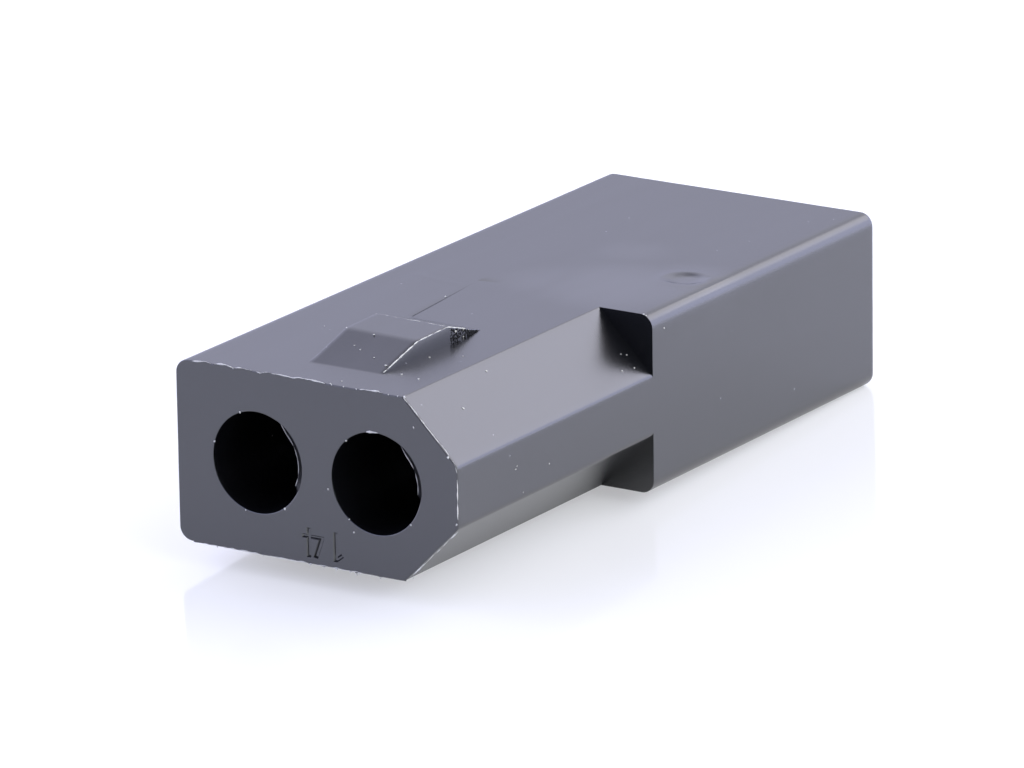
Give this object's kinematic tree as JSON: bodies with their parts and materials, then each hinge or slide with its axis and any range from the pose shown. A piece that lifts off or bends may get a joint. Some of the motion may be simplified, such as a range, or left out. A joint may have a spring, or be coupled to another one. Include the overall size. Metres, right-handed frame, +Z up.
{
  "type": "electrical connector housing",
  "caption": "Two-way pin-and-socket connector housing: a black moulded block with stepped round terminal cavities, cut-off polarising corners and a latch ramp above and below.",
  "frame": {"origin": "middle of the footprint, at the height of the lowest point, which is the crest of the lower latch ramp", "axes": "+Y from the mating face to the wire face, +Z up, +X towards the side with the cut-off corners"},
  "size_m": [0.0086, 0.021, 0.0059],
  "materials": {
    "housing": "as moulded, semi-gloss black nylon"
  },
  "bodies": {
    "root": {"housing": "housing"}
  },
  "joints": []
}
